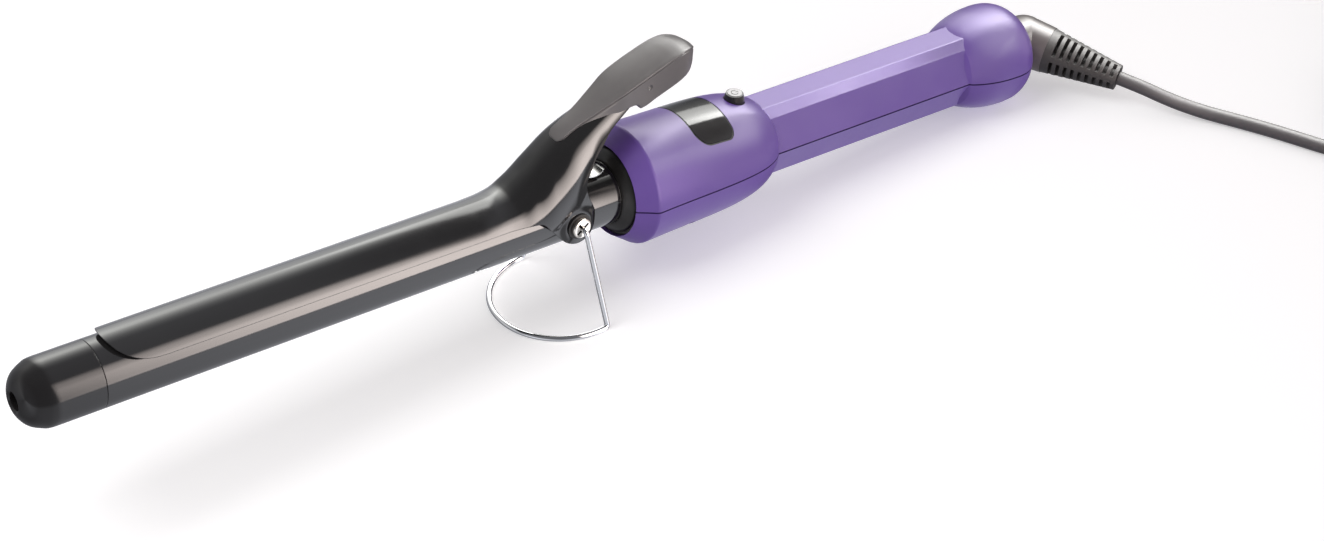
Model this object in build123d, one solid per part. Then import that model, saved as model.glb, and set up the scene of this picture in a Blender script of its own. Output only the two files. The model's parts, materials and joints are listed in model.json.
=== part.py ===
from build123d import *
import math
import os

# Curling iron: heated barrel with a sprung clamp, wire stand, two-shell handle
# and a swivelling cord.  Modelled along X from the tip (X = 0) to the rear of
# the handle, then tilted to the pose in which it rests on its wire stand and
# the rear bulb of the handle, with the origin under the middle of its box.

# ---------------------------------------------------------------- dimensions
TILT = 5.6                  # nose-up angle of the resting iron, degrees
BARREL_R = 11.0             # 22 mm barrel
BARREL_WALL = 0.8
TIP_LENGTH = 25.3
BARREL_END = 236.0          # hidden end inside the handle
CLAMP_R_OUT = 12.6
CLAMP_SHEET = 1.0
CLAMP_FRONT = 29.3
CLAMP_EDGE_DEG = 28.0       # height of the clamp's side edges above the middle
PIVOT_X = 195.5
PIVOT_HEAD_R = 3.5
PIVOT_SHOULDER_R = 2.0
WIRE_R = 0.95               # wire stand
WIRE_BORE_R = 1.0
STAND_FOOT_R = 24.0
STAND_FOOT_X = 199.6        # centre of the round foot
STAND_CORNER_X = 201.2
COLLAR_R = 15.9
SHELL_WALL = 2.2
PARTING = 0.24              # half of the parting gap between the shells
GRIP_X0, GRIP_X1 = 276.0, 372.0
GRIP_POLY = [(4.74, 14.0), (7.9, 11.3), (13.2, 0.0), (7.9, -11.3), (4.74, -14.0),
             (-4.74, -14.0), (-7.9, -11.3), (-13.2, 0.0), (-7.9, 11.3), (-4.74, 14.0)]
WINDOW_X0, WINDOW_X1, WINDOW_HALF = 243.8, 258.3, 13.6
WINDOW_DEPTH = 1.4
BUTTON_X = 268.0
BUTTON_R = 3.5
BUTTON_TRAVEL = 0.8
SWIVEL_NECK_R = 6.5
ELBOW_X = 404.6             # centre of the elbow's ball
ELBOW_R = 9.3
RELIEF_DIR = (0.4639, -0.8784, -0.1149)
RELIEF_RIB = (-0.8602, -0.4776, 0.1784)  # direction of the first rib between the slots
RELIEF_START, RELIEF_END = 9.9, 37.1    # along RELIEF_DIR from the ball's centre
RELIEF_R0, RELIEF_R1 = 8.4, 4.7
CORD_R = 2.5
COIL_R_IN, COIL_R_OUT = 19.8, 40.9       # centreline radii of the coil's turns
TIE = 0.5
PLUG_W, PLUG_T, PLUG_L = 35.3, 13.7, 34.0
PIN_R, PIN_LENGTH, PIN_SPACING = 2.0, 19.0, 18.6

os.makedirs("parts", exist_ok=True)
LOW = (Align.CENTER, Align.CENTER, Align.MIN)


# ------------------------------------------------------------------- helpers
def xcyl(r, x0, x1, y=0.0, z=0.0):
    return Pos(x0, y, z) * Rot(0, 90, 0) * Cylinder(r, x1 - x0, align=LOW)


def ycyl(r, y0, y1, x, z):
    return Pos(x, y0, z) * Rot(-90, 0, 0) * Cylinder(r, y1 - y0, align=LOW)


def zcyl(r, z0, z1, x, y):
    return Pos(x, y, z0) * Cylinder(r, z1 - z0, align=LOW)


def block(x0, x1, y0, y1, z0, z1):
    return Pos((x0 + x1) / 2, (y0 + y1) / 2, (z0 + z1) / 2) * Box(x1 - x0, y1 - y0, z1 - z0)


def ring(ri, ro, x0, x1):
    return xcyl(ro, x0, x1) - xcyl(ri, x0 - 1, x1 + 1)


def turned(*edges):
    return revolve(make_face(list(edges)), Axis.X, 360)


def pts3(pts):
    return [(x, r, 0) for x, r in pts]


def turned_poly(pts):
    return revolve(make_face(Polyline(*pts3(pts), close=True)), Axis.X, 360)


def side_plate(pts, y0, y1, curve=None):
    # outline in X and Z, thickened along Y
    face = make_face(curve) if curve else make_face(Polyline(*[(x, 0, z) for x, z in pts], close=True))
    solid = extrude(face, amount=y1 - y0, dir=(0, 1, 0))
    return Pos(0, y0, 0) * solid


def mirrored(s):
    return s + mirror(s, Plane.XZ)


def tube(path, r):
    return sweep(Plane(origin=path @ 0, z_dir=path % 0) * Circle(r), path=path)


def cone_along(p, d, r0, r1, length):
    pl = Plane(origin=p, z_dir=d)
    return pl.location * Cone(r0, r1, length, align=LOW)


nodes = {}        # in the iron's own frame, tilted at the end
cord_nodes = {}   # already in the resting frame

# -------------------------------------------------------------------- barrel
nodes["barrel_tube"] = (
    ring(BARREL_R - BARREL_WALL, BARREL_R, TIP_LENGTH, BARREL_END)
    - ycyl(2.6, -14, 14, PIVOT_X, 0)
)

dome = Spline((0.0, 3.6, 0), (0.9, 6.1, 0), (3.0, 8.6, 0), (6.2, 10.3, 0), (10.6, BARREL_R, 0),
              tangents=[(0.12, 1, 0), (1, 0, 0)])
tip = turned(
    dome,
    Polyline((10.6, BARREL_R, 0), (TIP_LENGTH - 0.15, BARREL_R, 0), (TIP_LENGTH - 0.15, 10.15, 0),
             (33.0, 10.15, 0), (33.0, 1.6, 0), (9.0, 1.6, 0), (9.0, 3.0, 0), (0.5, 3.0, 0), (0.0, 3.6, 0)),
)
nodes["cool_tip"] = tip
nodes["tip_screw"] = (
    xcyl(2.75, 6.8, 8.95) + xcyl(1.5, 8.9, 39.0)
    - block(6.5, 7.8, -2.2, 2.2, -0.4, 0.4) - block(6.5, 7.8, -0.4, 0.4, -2.2, 2.2)
)
nodes["tip_anchor"] = ring(1.55, 10.1, 35.0, 39.5) - block(34, 41, -12, 12, 6.5, 12) - block(34, 41, -12, 12, -12, -6.5)

# heater stack in the barrel
spread = xcyl(10.05, 50.0, 180.0) - block(40, 190, -12, 12, -1.35, 1.35)
upper_sp = spread & block(40, 190, -12, 12, 0, 12)
lower_sp = spread & block(40, 190, -12, 12, -12, 0)
nodes["heat_spreader_upper"] = upper_sp - xcyl(1.3, 45, 185, 0, 6.0)
nodes["heat_spreader_lower"] = lower_sp - xcyl(1.3, 45, 185, 0, -6.0)
nodes["ceramic_heater"] = block(54.0, 176.0, -6.5, 6.5, -1.25, 1.25)
nodes["temperature_sensor"] = xcyl(1.2, 160.0, 186.0, 0, 6.0)
nodes["thermal_fuse"] = xcyl(1.6, 184.0, 194.0, 0, -6.0)
nodes["heater_leads"] = (
    xcyl(0.8, 176.3, 243.0, -3.4, 0.0) + xcyl(0.8, 176.3, 243.0, 3.4, 0.0) + xcyl(0.5, 186.2, 243.0, 0, 6.0)
)

# pivots: threaded bushes in the barrel wall, hollow shoulder screws, dark washers
bush = ycyl(2.5, 7.6, 11.2, PIVOT_X, 0) + ycyl(3.6, 7.6, 8.6, PIVOT_X, 0)
bush = bush - ycyl(1.56, 7.0, 12.0, PIVOT_X, 0)
nodes["pivot_bushes"] = mirrored(bush)
screw = (
    ycyl(PIVOT_HEAD_R, 13.25, 14.85, PIVOT_X, 0)
    + ycyl(PIVOT_SHOULDER_R, 11.25, 13.3, PIVOT_X, 0)
    + ycyl(1.5, 8.0, 11.3, PIVOT_X, 0)
)
screw = fillet(screw.edges().filter_by(GeomType.CIRCLE).sort_by(Axis.Y)[-1], 0.55)
screw = screw - ycyl(WIRE_BORE_R, 10.6, 16.0, PIVOT_X, 0)
nodes["pivot_screws"] = mirrored(screw)
nodes["pivot_washers"] = mirrored(ycyl(4.4, 12.72, 13.2, PIVOT_X, 0) - ycyl(2.1, 12, 14, PIVOT_X, 0))

# --------------------------------------------------------------------- clamp
ci = CLAMP_R_OUT - CLAMP_SHEET
edge_z = CLAMP_R_OUT * math.sin(math.radians(CLAMP_EDGE_DEG))
spoon = ring(ci, CLAMP_R_OUT, CLAMP_FRONT, 171.0)
front_curve = Spline((CLAMP_FRONT - 0.3, 0, 13.2), (29.6, 0, 12.0), (31.2, 0, 10.5), (33.4, 0, 9.1), (36.0, 0, 7.85),
                     (38.8, 0, 7.0), (42.0, 0, 6.5), (46.0, 0, 6.3))
region = extrude(
    make_face([
        front_curve,
        Polyline((46.0, 0, 6.3), (172.0, 0, edge_z), (172.0, 0, 20.0), (CLAMP_FRONT - 0.3, 0, 20.0),
                 (CLAMP_FRONT - 0.3, 0, 13.2)),
    ]),
    amount=20, dir=(0, 1, 0), both=True)
spoon = spoon & region

# lever: (X, top, half width, edge height, squareness)
LEVER = [
    (166.0, 12.90, 11.39, 5.70, 2.0),
    (174.0, 13.35, 11.90, 4.60, 2.15),
    (180.0, 16.80, 12.50, 4.20, 2.35),
    (187.0, 22.70, 12.60, 6.50, 2.6),
    (194.0, 28.00, 12.30, 12.0, 2.8),
    (201.0, 32.00, 10.90, 19.0, 2.8),
    (208.0, 35.30, 8.90, 26.6, 2.6),
    (215.0, 38.40, 7.30, 32.3, 2.4),
    (221.0, 40.60, 6.20, 36.0, 2.2),
]


def arch(x, zt, w, ze, n, first=False, drop=0.0):
    p = []
    k = 14
    for i in range(k + 1):
        if first:
            a = math.radians(-62 + 124 * i / k)
            p.append((x, w / math.sin(math.radians(62)) * math.sin(a),
                      zt - (w / math.sin(math.radians(62))) * (1 - math.cos(a))))
        else:
            a = -math.pi / 2 + math.pi * i / k
            s, c = math.sin(a), max(math.cos(a), 0.0)
            p.append((x, w * math.copysign(abs(s) ** (2 / n), s), ze + (zt - ze) * c ** (2 / n)))
    top = Spline(*p)
    if drop:
        low = Polyline(p[-1], (x, p[-1][1], ze - drop), (x, p[0][1], ze - drop), p[0])
        return make_face([top, low])
    return make_face([top, Line(p[-1], p[0])])


lever_full = loft([arch(*s, first=(i == 0)) for i, s in enumerate(LEVER)])
inner = []
for i, (x, zt, w, ze, n) in enumerate(LEVER):
    slope = 1.0 if i < 2 else 1.25
    xx = x - 0.6 if i == 0 else (x + 0.6 if i == len(LEVER) - 1 else x)
    inner.append(arch(xx, zt - CLAMP_SHEET * slope, w - CLAMP_SHEET, ze, n, first=False, drop=3.0))
lever_hollow = loft(inner)
lever = lever_full - lever_hollow - xcyl(ci, 160, 185)

ear_outline = [
    Polyline((180.2, 0, 5.6), (186.4, 0, -0.6)),
    Spline((186.4, 0, -0.6), (189.2, 0, -3.6), (191.5, 0, -5.6), (194.2, 0, -6.9), (197.0, 0, -7.1), (199.8, 0, -5.7),
           (201.8, 0, -3.1), (202.6, 0, 0.2), (202.2, 0, 3.6), (200.9, 0, 6.4), tangents=[(1, 0, -1), (-0.45, 0, 1)]),
    Spline((200.9, 0, 6.4), (199.4, 0, 9.6), (198.6, 0, 13.0), (199.2, 0, 16.5), tangents=[(-0.45, 0, 1), (0.3, 0, 1)]),
    Polyline((199.2, 0, 16.5), (190.0, 0, 12.5), (182.5, 0, 8.6), (180.2, 0, 5.6)),
]
ear = Pos(0, ci, 0) * extrude(make_face(ear_outline), amount=CLAMP_SHEET, dir=(0, 1, 0))
ear = ear - ycyl(PIVOT_SHOULDER_R + 0.05, 10, 14, PIVOT_X, 0)
clamp_plate = spoon + lever + mirrored(ear)
nodes["clamp_plate"] = clamp_plate

# thumb pad: a plastic cover over the end of the lever
pad_top = Spline((192.4, 0, 28.5), (196.0, 0, 30.7), (200.0, 0, 32.8), (206.0, 0, 36.0), (212.0, 0, 39.4), (218.0, 0, 42.5),
                 (224.0, 0, 45.0), (230.0, 0, 47.1), (235.5, 0, 48.9), (240.0, 0, 49.5), (244.0, 0, 48.6), (246.6, 0, 46.4),
                 (247.6, 0, 43.6))
pad_low = Spline((247.6, 0, 43.6), (246.8, 0, 41.0), (244.0, 0, 39.4), (240.0, 0, 38.5), (236.0, 0, 37.6), (229.0, 0, 35.3),
                 (223.2, 0, 33.2))
pad_side = extrude(make_face([
    pad_top, pad_low,
    Polyline((223.2, 0, 33.2), (221.6, 0, 34.7), (213.0, 0, 33.4), (204.0, 0, 30.7), (197.0, 0, 27.0), (192.4, 0, 25.6),
             (192.4, 0, 28.5)),
]), amount=12, dir=(0, 1, 0), both=True)
half = [(192.4, 2.2), (193.0, 2.9), (194.2, 3.4), (196.0, 3.6), (200.0, 4.1), (204.0, 4.7), (208.0, 5.5), (212.0, 6.3), (216.0, 7.1),
        (220.0, 7.4), (226.0, 7.45), (232.0, 7.3), (236.0, 7.05), (239.5, 6.4), (242.5, 5.1), (245.4, 3.0)]
plan = make_face([
    Spline(*[(x, -w, 0) for x, w in half]),
    Spline((245.4, -3.0, 0), (246.9, 0, 0), (245.4, 3.0, 0)),
    Spline(*[(x, w, 0) for x, w in reversed(half)]),
    Line((192.4, 2.2, 0), (192.4, -2.2, 0)),
])
pad = pad_side & extrude(plan, amount=60, dir=(0, 0, 1))
pad = pad - lever_full
pad = max(pad.solids(), key=lambda s: s.volume)
nodes["thumb_pad"] = pad
pins, holes, sockets = None, None, None
for rx, rz in ((211.0, 36.6), (217.0, 39.2)):
    one = zcyl(2.2, rz - 3.7, rz - 2.5, rx, 0) + zcyl(1.2, rz - 2.6, rz + 0.9, rx, 0)
    pins = one if pins is None else pins + one
    h = zcyl(1.4, rz - 4.0, rz + 1.0, rx, 0)
    holes = h if holes is None else holes + h
    k = zcyl(1.25, rz - 4.0, rz + 1.1, rx, 0)
    sockets = k if sockets is None else sockets + k
nodes["clamp_plate"] = clamp_plate - holes
nodes["thumb_pad"] = pad - sockets
nodes["pad_screws"] = pins

# closing spring: a leaf under the lever that bears on the barrel behind the pivot
leaf = [(181.6, 14.9), (184.0, 16.9), (187.0, 19.0), (189.6, 20.0), (192.0, 19.4), (195.5, 16.9), (199.5, 14.3),
        (203.0, 12.45), (205.8, 11.75), (208.0, 12.0), (209.4, 12.9)]
lo, hi = [], []
for i, (x, z) in enumerate(leaf):
    a, b = leaf[max(i - 1, 0)], leaf[min(i + 1, len(leaf) - 1)]
    t = Vector(b[0] - a[0], 0, b[1] - a[1]).normalized()
    lo.append((x + t.Z * 0.25, 0, z - t.X * 0.25))
    hi.append((x - t.Z * 0.25, 0, z + t.X * 0.25))
leaf_face = make_face([Spline(*lo), Line(lo[-1], hi[-1]), Spline(*reversed(hi)), Line(hi[0], lo[0])])
rivet_at = Pos(184.6, 0, 17.36) * Rot(0, -38, 0)
spring = extrude(leaf_face, amount=5.8, dir=(0, 1, 0), both=True)
nodes["clamp_spring"] = spring - rivet_at * Pos(0, 0, -2) * Cylinder(0.95, 4, align=LOW)
nodes["spring_rivet"] = rivet_at * (
    Pos(0, 0, -1.1) * Cylinder(1.9, 0.7, align=LOW) + Pos(0, 0, -0.6) * Cylinder(0.8, 1.9, align=LOW)
    + Pos(0, 0, 0.4) * Cylinder(1.4, 0.9, align=LOW)
)

# -------------------------------------------------------------------- handle
FRONT = [(222.9, 20.74), (230.0, 20.48), (238.0, 20.28), (246.0, 20.14), (254.0, 19.86), (261.0, 19.36), (266.2, 18.66),
         (270.8, 17.6), (274.6, 16.1), (277.3, 14.5), (279.2, 12.8), (280.6, 11.0)]
REAR = [(366.8, 13.6), (369.0, 14.9), (372.5, 16.3), (378.0, 17.7), (384.0, 18.25), (388.0, 18.15), (391.5, 17.3),
        (394.4, 15.6), (396.6, 13.4), (397.9, 11.4)]


def front_solid(off=0.0):
    p = [(x, r - off) for x, r in FRONT]
    return turned(
        Line((216.0, 16.3 - off, 0), (221.6, 20.14 - off, 0)),
        ThreePointArc((221.6, 20.14 - off, 0), (222.15, 20.5 - off, 0), (222.9, 20.74 - off, 0)),
        Spline(*pts3(p)),
        Polyline((280.6, 11.0 - off, 0), (280.6, 0, 0), (216.0, 0, 0), (216.0, 16.3 - off, 0)),
    )


front_out = front_solid()
rear_out = turned(
    Polyline((364.6, 0, 0), (364.6, 11.0, 0), (366.8, 13.6, 0)),
    Spline(*pts3(REAR)),
    Polyline((397.9, 11.4, 0), (398.4, 10.2, 0), (398.4, 0, 0), (364.6, 0, 0)),
)
grip_face = Plane.YZ.offset(GRIP_X0) * Polygon(*GRIP_POLY, align=None)
grip_face = fillet(grip_face.vertices(), 0.9)
grip = extrude(grip_face, amount=GRIP_X1 - GRIP_X0, dir=(1, 0, 0))
outer = front_out + grip + rear_out

front_in = turned(
    Polyline((218.4, 0, 0), (218.4, 15.4, 0), (223.6, 18.3, 0)),
    Spline((223.6, 18.3, 0), (232.0, 18.0, 0), (240.0, 17.75, 0), (250.0, 17.5, 0), (258.0, 17.0, 0), (264.0, 16.3, 0),
           (268.6, 15.3, 0), (272.4, 14.0, 0), (275.2, 12.4, 0), (277.2, 10.6, 0)),
    Polyline((277.2, 10.6, 0), (277.2, 0, 0), (218.4, 0, 0)),
)
rear_in = turned(
    Polyline((362.0, 0, 0), (362.0, 9.6, 0), (368.0, 12.0, 0)),
    Spline((368.0, 12.0, 0), (372.0, 13.6, 0), (378.0, 15.2, 0), (384.0, 15.8, 0), (387.5, 15.6, 0), (390.2, 14.6, 0),
           (392.6, 12.9, 0), (394.4, 11.0, 0), (395.6, 9.9, 0)),
    Polyline((395.6, 9.9, 0), (395.6, 0, 0), (362.0, 0, 0)),
)
grip_in = extrude(Plane.YZ.offset(272.0) * offset(Polygon(*GRIP_POLY, align=None), amount=-SHELL_WALL), amount=102.0,
                  dir=(1, 0, 0))
cavity = front_in + grip_in + rear_in
shell = outer - cavity - xcyl(COLLAR_R + 0.2, 210, 219) - xcyl(8.7, 394.6, 400.6)
# bearing rib in the rear bulb
rib = (ring(8.2, 15.0, 390.7, 392.5)) & rear_in
shell = shell + rib

BOSSES = [(241.0, 13.3, 3.0), (241.0, -13.3, 3.0), (387.3, 11.7, 2.7), (387.3, -11.7, 2.7)]
up_boss, low_boss, up_hole, low_hole, screws = None, None, None, None, None


def add(a, b):
    return b if a is None else a + b


for bx, by, br in BOSSES:
    up_boss = add(up_boss, zcyl(br, PARTING, 20, bx, by) & outer)
    low_boss = add(low_boss, zcyl(br, -20, -PARTING, bx, by) & outer)
    up_hole = add(up_hole, zcyl(1.3, -1, 7.6, bx, by))
    low_hole = add(low_hole, zcyl(1.45, -12, 1, bx, by) + zcyl(2.3, -24, -6.0, bx, by))
    s = zcyl(1.25, -6.2, 7.2, bx, by) + zcyl(2.15, -7.9, -6.05, bx, by)
    s = s - (block(bx - 1.5, bx + 1.5, by - 0.3, by + 0.3, -8.2, -7.1) + block(bx - 0.3, bx + 0.3, by - 1.5, by + 1.5, -8.2, -7.1))
    screws = add(screws, s)

upper = shell & block(200, 420, -40, 40, PARTING, 40)
lower = shell & block(200, 420, -40, 40, -40, -PARTING)


def window_plan(grow):
    x0, x1, h = WINDOW_X0 - grow, WINDOW_X1 + grow, WINDOW_HALF + grow
    rect = make_face(Polyline((x0, -h, 0), (x1, -h, 0), (x1, h, 0), (x0, h, 0), close=True))
    vs = rect.vertices().sort_by(Axis.X)
    rect = fillet(vs[:2], 4.6 + grow)
    vs = rect.vertices().sort_by(Axis.X)
    rect = fillet(vs[-2:], 2.8 + grow)
    return Pos(0, 0, 8.0) * extrude(rect, amount=22, dir=(0, 0, 1))


lens_col = window_plan(0.0)
seal_col = window_plan(0.55)
sight_col = window_plan(-1.8)
front_deep = front_solid(WINDOW_DEPTH)
pocket = seal_col - front_deep
upper = upper - pocket - sight_col - zcyl(BUTTON_R + 0.25, 5, 30, BUTTON_X, 0)
upper = upper + up_boss - up_hole
lower = lower + low_boss - low_hole
nodes["handle_upper_shell"] = upper
nodes["handle_lower_shell"] = lower
nodes["handle_screws"] = screws

band = front_out - front_deep
nodes["display_window"] = band & lens_col
nodes["window_seal"] = ((front_solid(0.2) - front_deep) & (seal_col - window_plan(0.02)))

collar = turned(
    Polyline((219.0, 11.06, 0), (214.1, 11.06, 0), (214.1, 11.4, 0)),
    Spline((214.1, 11.4, 0), (214.45, 12.1, 0), (215.0, 12.95, 0), (215.6, 13.8, 0), (216.3, 14.5, 0), (217.2, 14.95, 0)),
    Polyline((217.2, 14.95, 0), (217.2, COLLAR_R, 0), (218.2, COLLAR_R, 0), (218.2, 13.2, 0), (219.0, 13.2, 0),
             (219.0, 11.06, 0)),
)
nodes["front_collar"] = collar
nodes["barrel_mount"] = ring(11.06, 17.3, 225.0, 233.5) + ring(11.06, 13.2, 219.2, 225.1)

# electronics
nodes["circuit_board"] = block(246.0, 330.0, -6.4, 6.4, 3.6, 5.2)
nodes["display_module"] = block(246.5, 257.0, -6.2, 6.2, 5.3, 14.0)
nodes["tact_switch"] = block(265.0, 271.0, -3.0, 3.0, 5.3, 9.2) + zcyl(1.5, 9.1, 11.3, BUTTON_X, 0)
nodes["triac"] = block(300.0, 310.0, -4.6, 4.6, 5.3, 9.6)
nodes["inner_leads"] = xcyl(0.8, 330.4, 367.3, -3.2, 4.4) + xcyl(0.8, 330.4, 367.3, 3.2, 4.4)

# power button
button = zcyl(BUTTON_R, 12.6, 19.0, BUTTON_X, 0) + Pos(BUTTON_X, 0, 18.9) * Cone(BUTTON_R, 3.0, 1.9, align=LOW)
button = button + zcyl(4.5, 12.4, 13.3, BUTTON_X, 0)
nodes["power_button"] = button - zcyl(2.55, 20.3, 22, BUTTON_X, 0)
nodes["button_cap"] = zcyl(2.5, 20.32, 21.0, BUTTON_X, 0)

# ---------------------------------------------------------------- rear swivel
nodes["swivel_bearing"] = ring(SWIVEL_NECK_R + 0.06, 8.15, 382.7, 394.3) + ring(SWIVEL_NECK_R + 0.06, 9.6, 392.9, 394.9)
nodes["brush_contacts"] = block(369.7, 373.7, -2.0, 2.0, 6.2, 6.8) + block(374.7, 378.7, -2.0, 2.0, 6.2, 6.8)
d = Vector(*RELIEF_DIR).normalized()
ball = Vector(ELBOW_X, 0, 0)
elbow = (
    xcyl(4.2, 368.3, 382.3) + xcyl(SWIVEL_NECK_R, 381.9, 399.2) + xcyl(ELBOW_R, 398.8, ELBOW_X)
    + Pos(ELBOW_X, 0, 0) * Sphere(ELBOW_R)
    + cone_along(ball, d, ELBOW_R - 0.05, RELIEF_R0 + 0.2, RELIEF_START)
)
nodes["swivel_elbow"] = elbow
nodes["slip_rings"] = ring(4.22, 5.6, 370.3, 373.1) + ring(4.22, 5.6, 375.3, 378.1)
nodes["retaining_clip"] = ring(4.25, 7.9, 380.3, 381.6)

axis_rel = Plane(origin=ball + d * RELIEF_START, x_dir=RELIEF_RIB, z_dir=d)
L = RELIEF_END - RELIEF_START
relief = axis_rel.location * Cone(RELIEF_R0, RELIEF_R1, L, align=LOW)
cuts = None
for i in range(9):
    z0 = 3.0 + i * 2.7
    c = Pos(0, 0, z0) * (Cylinder(12, 1.35, align=LOW) - Cylinder(3.3, 1.35, align=LOW))
    cuts = c if cuts is None else cuts + c
spines = Pos(0, 0, L / 2) * (Box(2.2, 40, L + 4) + Box(40, 2.2, L + 4))
relief = relief - axis_rel.location * (cuts - spines)
nodes["strain_relief"] = relief

# ------------------------------------------------------- resting frame (floor)
tilted = Rot(0, TILT, 0) * nodes["handle_lower_shell"]
TZ = -tilted.bounding_box(optimal=True).min.Z
ca, sa = math.cos(math.radians(TILT)), math.sin(math.radians(TILT))


def floor_z(x):
    # height of the resting surface in the iron's own frame
    return (-TZ + x * sa) / ca


def on_floor(x, y):
    # a wire's centre lying on the resting surface
    return (x, y, floor_z(x) + WIRE_R / ca)


# wire stand: sprung into the pivot screws, splayed legs, round foot
t = STAND_FOOT_R * math.tan(math.radians(22.5))
fx, fr = STAND_FOOT_X, STAND_FOOT_R
route = [(PIVOT_X, -11.2, 0.0), (PIVOT_X, -16.6, 0.0), on_floor(STAND_CORNER_X, -fr), on_floor(fx - t, -fr), on_floor(fx - fr, -t),
         on_floor(fx - fr, t), on_floor(fx - t, fr), on_floor(STAND_CORNER_X, fr), (PIVOT_X, 16.6, 0.0), (PIVOT_X, 11.2, 0.0)]
stand_path = FilletPolyline(*route, radius=[1.5, 1.5, fr - 0.4, fr - 0.4, fr - 0.4, fr - 0.4, 1.5, 1.5])
nodes["wire_stand"] = tube(stand_path, WIRE_R)

# --------------------------------------------------- origin under the middle
cordlike = ("strain_relief",)
boxes = [(Rot(0, TILT, 0) * s).bounding_box(optimal=True) for n, s in nodes.items() if n not in cordlike]
TX = -(min(b.min.X for b in boxes) + max(b.max.X for b in boxes)) / 2
print("TX %.4f TZ %.4f" % (TX, TZ), "floor check", min(b.min.Z for b in boxes) + TZ)
print("y", min(b.min.Y for b in boxes), max(b.max.Y for b in boxes))


def put(s):
    return Pos(TX, 0, TZ) * Rot(0, TILT, 0) * s


def place(p):
    x, y, z = p
    return Vector(x * ca + z * sa + TX, y, -x * sa + z * ca + TZ)


# ---------------------------------------------------------------------- cord
# leaves the strain relief sideways, drops to the floor and runs to a tied coil
exit_p = place(ball + d * (RELIEF_END + 0.3))
out_dir = place(ball + d * (RELIEF_END + 1.3)) - exit_p
COIL_Z = TIE + CORD_R + 0.05
COIL_C = (301.2, -117.9)
ENTRY = (264.2, -135.5, COIL_Z)
ROUTE = [
    (exit_p.X, exit_p.Y, exit_p.Z),
    (exit_p.X + 9 * out_dir.X, exit_p.Y + 9 * out_dir.Y, exit_p.Z + 9 * out_dir.Z),
    (220.1, -47.2, 6.9),
    (224.6, -53.6, 4.7),
    (229.5, -60.9, 3.15),
    (235.0, -70.4, 2.6),
    (240.2, -81.6, 2.55),
    (244.4, -92.1, 2.55),
    (248.2, -102.3, 2.6),
    (258.2, -122.85, 2.9),
    ENTRY,
]
TAIL = [
    (COIL_C[0] + COIL_R_OUT, COIL_C[1], COIL_Z + 2 * CORD_R),
    (COIL_C[0] + COIL_R_OUT + 0.5, COIL_C[1] + 10.0, COIL_Z + 2 * CORD_R - 0.3),
    (COIL_C[0] + COIL_R_OUT + 0.3, COIL_C[1] + 19.0, PLUG_T / 2 + 0.4),
    (COIL_C[0] + COIL_R_OUT, COIL_C[1] + 26.0, PLUG_T / 2),
]


def lay(route):
    pts = [Vector(*p) for p in route]
    radii = []
    for a, b, c in zip(pts, pts[1:], pts[2:]):
        turn = (b - a).get_angle(c - b)
        radii.append(0.45 * min((b - a).length, (c - b).length) / math.tan(math.radians(turn / 2)))
    path = FilletPolyline(*pts, radius=radii)
    solid = tube(path, CORD_R)
    print("runs", [round((b - a).length, 1) for a, b in zip(pts, pts[1:])], "radii", [round(r, 1) for r in radii],
          "volume ratio %.4f" % (solid.volume / (math.pi * CORD_R ** 2 * path.length)), "length %.1f" % path.length)
    return solid


cord_nodes["power_cord"] = lay(ROUTE)
cord_nodes["plug_lead"] = lay(TAIL)
ro, ri = COIL_R_OUT + CORD_R + 0.1, COIL_R_IN - CORD_R - 0.1
coil = zcyl(ro, TIE, TIE + 4 * CORD_R + 0.2, *COIL_C) - zcyl(ri, TIE - 1, TIE + 20, *COIL_C)
coil = fillet(coil.edges().filter_by(GeomType.CIRCLE), 1.6)
cord_nodes["cord_coil"] = coil
tie_h = TIE + 4 * CORD_R + 0.2
tie = block(ri - TIE - 0.55, ro + TIE + 0.05, -4, 4, 0, tie_h + TIE) - block(ri - 0.55, ro + 0.05, -6, 6, TIE, tie_h + 0.05)
cord_nodes["cord_tie"] = Pos(COIL_C[0], COIL_C[1], 0) * Rot(0, 0, 100) * tie

# plug: flat two-pin body lying beside the coil, pins pointing along +Y
px, py, pz = COIL_C[0] + COIL_R_OUT, COIL_C[1] + 26.3, PLUG_T / 2
back = Plane(origin=(px, py + 14, pz), x_dir=(1, 0, 0), z_dir=(0, 1, 0))
plug = loft([
    back * RectangleRounded(15.0, 11.0, 3.5),
    back.offset(12.0) * RectangleRounded(28.0, 12.8, 4.2),
    back.offset(22.0) * RectangleRounded(PLUG_W, PLUG_T, 4.6),
])
plug = plug + extrude(back.offset(22.0) * RectangleRounded(PLUG_W, PLUG_T, 4.6), amount=PLUG_L - 22.0, dir=(0, 1, 0))
plug = plug + Pos(px, py, pz) * Rot(-90, 0, 0) * Cone(3.7, 5.3, 14.5, align=LOW)
face_y = py + 14 + PLUG_L
plug_pins = None
for sx in (-1, 1):
    cx_ = px + sx * PIN_SPACING / 2
    plug = plug - ycyl(1.6, face_y - 7.0, face_y + 1, cx_, pz)
    pin = ycyl(PIN_R, face_y, face_y + PIN_LENGTH, cx_, pz)
    pin = chamfer(pin.edges().filter_by(GeomType.CIRCLE).sort_by(Axis.Y)[-1], 0.6)
    pin = pin + ycyl(1.6, face_y - 6.9, face_y + 0.1, cx_, pz)
    plug_pins = pin if plug_pins is None else plug_pins + pin
cord_nodes["plug_body"] = plug
cord_nodes["plug_pins"] = plug_pins

print("exit", [round(v, 3) for v in ROUTE[0]], "second", [round(v, 3) for v in ROUTE[1]])
print("pin face y %.3f x %.3f z %.3f" % (face_y, px, pz))
print("pivot", place((PIVOT_X, 0, 0)), "swivel", place((ELBOW_X, 0, 0)), "button", place((BUTTON_X, 0, 20)))

for name, s in nodes.items():
    nodes[name] = put(s)
for name, s in {**nodes, **cord_nodes}.items():
    export_step(s, f"parts/{name}.step")
print(len(nodes) + len(cord_nodes), "nodes")
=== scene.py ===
import json
import math

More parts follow.
